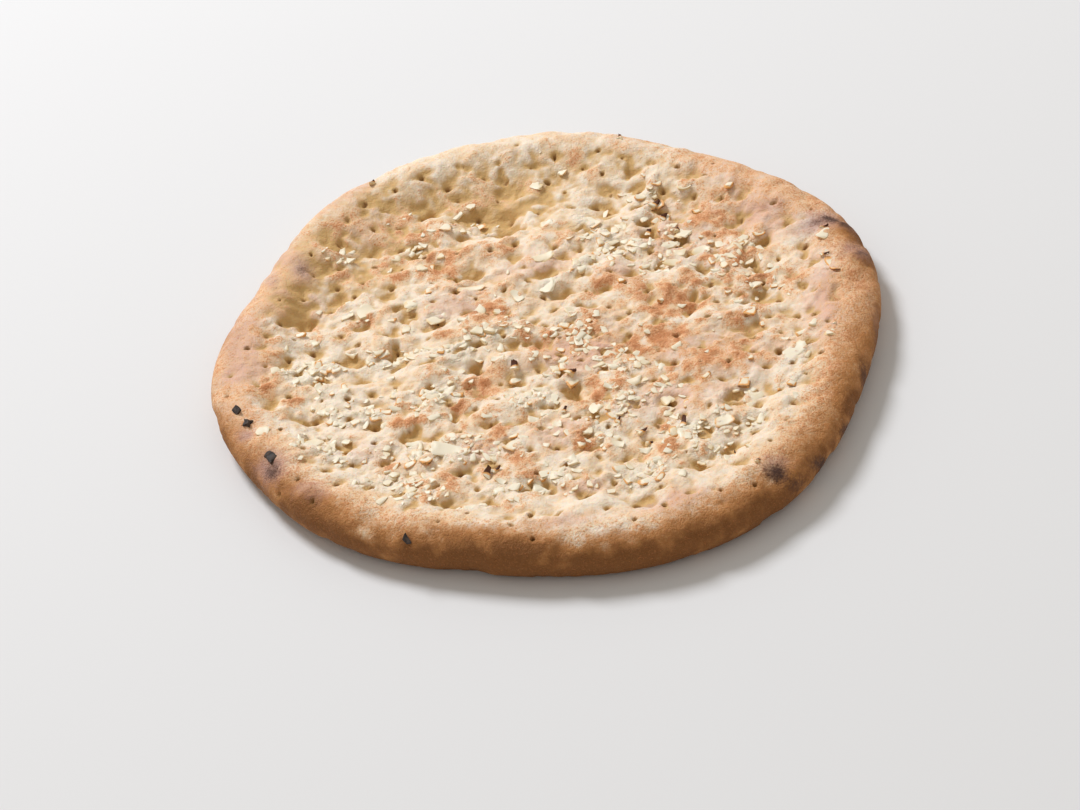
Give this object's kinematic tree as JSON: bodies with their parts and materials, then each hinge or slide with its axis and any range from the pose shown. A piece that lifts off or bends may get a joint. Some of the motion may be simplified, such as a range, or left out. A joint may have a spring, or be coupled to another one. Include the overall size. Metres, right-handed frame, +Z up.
{
  "type": "garlic naan",
  "caption": "Round flat garlic naan with a puffed rim, a dimpled and docked top, chopped garlic baked into the crust and a few charred bits.",
  "frame": {"origin": "middle of the flat underside, where the loaf rests", "axes": "+Z up out of the top crust, +X to the loaf's right and +Y to its far side as the picture shows it"},
  "size_m": [0.3055, 0.3033, 0.022],
  "materials": {
    "crust": "dull baked bread crust, cream in the middle and toasted tan to brown on the rim",
    "garlic": "moist milky garlic, slightly glossy, toasted at the edges",
    "char": "dull black charcoal"
  },
  "bodies": {
    "root": {"naan": "crust"}
  },
  "joints": []
}
